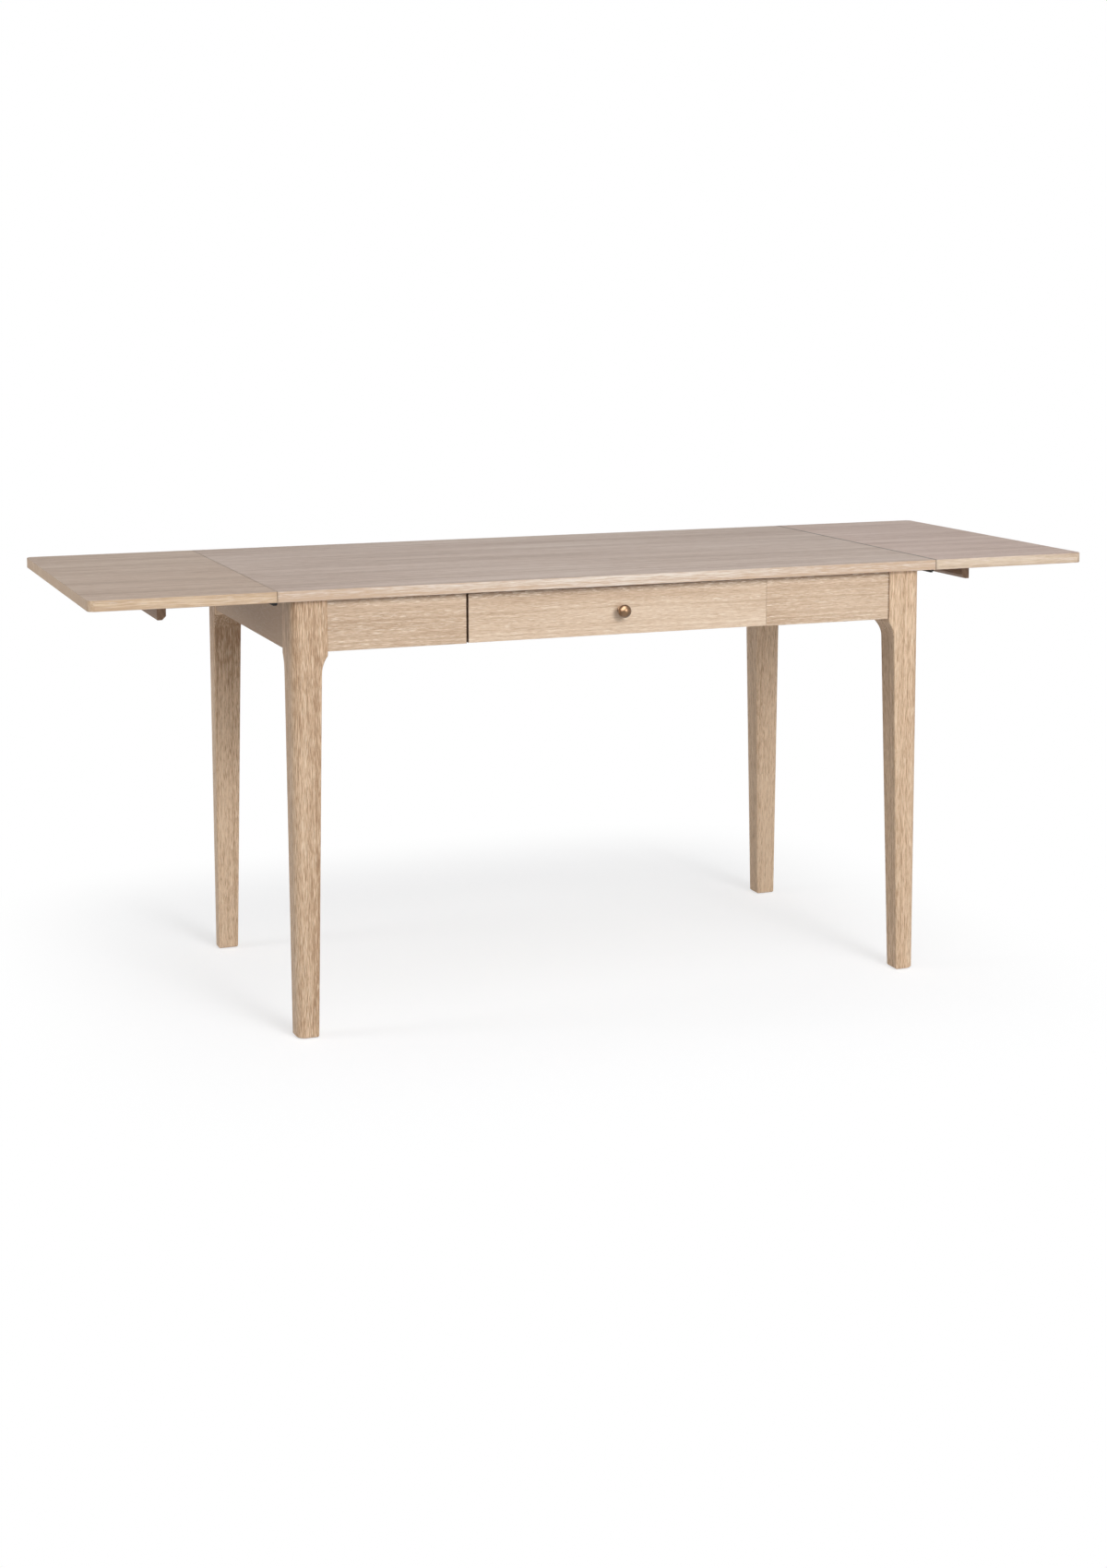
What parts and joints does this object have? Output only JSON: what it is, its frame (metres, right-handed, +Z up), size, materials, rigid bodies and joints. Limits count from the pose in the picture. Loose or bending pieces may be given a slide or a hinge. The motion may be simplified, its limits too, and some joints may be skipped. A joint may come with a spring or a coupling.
{
  "type": "extendable desk",
  "caption": "Extendable oak desk on tapered legs, with a centre drawer and ball knob, and at each end a pull-out support that carries a leaf.",
  "frame": {"origin": "on the floor, under the middle of the main top", "axes": "+X along the desk to the right, -Y out of the drawer front, +Z up"},
  "size_m": [1.8068, 0.6635, 0.75],
  "materials": {
    "oak": "limed, matt lacquer",
    "inner_wood": "plain sanded hardwood",
    "plywood": "sanded",
    "brass": "aged, satin",
    "black_steel": "black, satin",
    "steel": "zinc plated",
    "glide": "matt"
  },
  "bodies": {
    "frame": {"main_top": "oak", "front_panel_left": "oak", "front_panel_right": "oak", "back_apron": "oak", "end_apron_left": "oak", "end_apron_right": "oak", "front_rail": "oak", "drawer_rail_left": "inner_wood", "drawer_rail_right": "inner_wood", "drawer_runner_left": "inner_wood", "drawer_runner_right": "inner_wood", "drawer_stops": "inner_wood", "corner_bolts": "steel", "top_angles": "steel", "leg_front_left": "oak", "corner_block_front_left": "inner_wood", "foot_glide_front_left": "glide", "leg_front_right": "oak", "corner_block_front_right": "inner_wood", "foot_glide_front_right": "glide", "leg_back_right": "oak", "corner_block_back_right": "inner_wood", "foot_glide_back_right": "glide", "leg_back_left": "oak", "corner_block_back_left": "inner_wood", "foot_glide_back_left": "glide", "bearer_guide_left_front": "inner_wood", "bearer_guide_left_back": "inner_wood", "seam_sockets_left": "black_steel", "bearer_guide_right_front": "inner_wood", "bearer_guide_right_back": "inner_wood", "seam_sockets_right": "black_steel"},
    "drawer": {"drawer_front": "oak", "drawer_side_left": "inner_wood", "drawer_side_right": "inner_wood", "drawer_back": "inner_wood", "drawer_floor": "plywood", "knob": "brass", "knob_screw": "steel"},
    "support_left": {"bearer_left_front": "inner_wood", "bearer_left_back": "inner_wood", "pull_bar_left": "oak", "stop_pins_left": "steel"},
    "leaf_left": {"leaf_left": "oak", "leaf_pins_left": "steel", "leaf_tongues_left": "black_steel"},
    "support_right": {"bearer_right_front": "inner_wood", "bearer_right_back": "inner_wood", "pull_bar_right": "oak", "stop_pins_right": "steel"},
    "leaf_right": {"leaf_right": "oak", "leaf_pins_right": "steel", "leaf_tongues_right": "black_steel"}
  },
  "joints": [
    {"name": "drawer_slide", "type": "slide", "parent": "frame", "child": "drawer", "axis": [0, -1, 0], "range_m": [0, 0.28]},
    {"name": "support_left_slide", "type": "slide", "parent": "frame", "child": "support_left", "axis": [-1, 0, 0], "range_m": [-0.1734, 0]},
    {"name": "leaf_left_release", "type": "slide", "parent": "frame", "child": "leaf_left", "axis": [-1, 0, 0], "range_m": [0, 0.04]},
    {"name": "support_right_slide", "type": "slide", "parent": "frame", "child": "support_right", "axis": [1, 0, 0], "range_m": [-0.1734, 0]},
    {"name": "leaf_right_release", "type": "slide", "parent": "frame", "child": "leaf_right", "axis": [1, 0, 0], "range_m": [0, 0.04]}
  ]
}
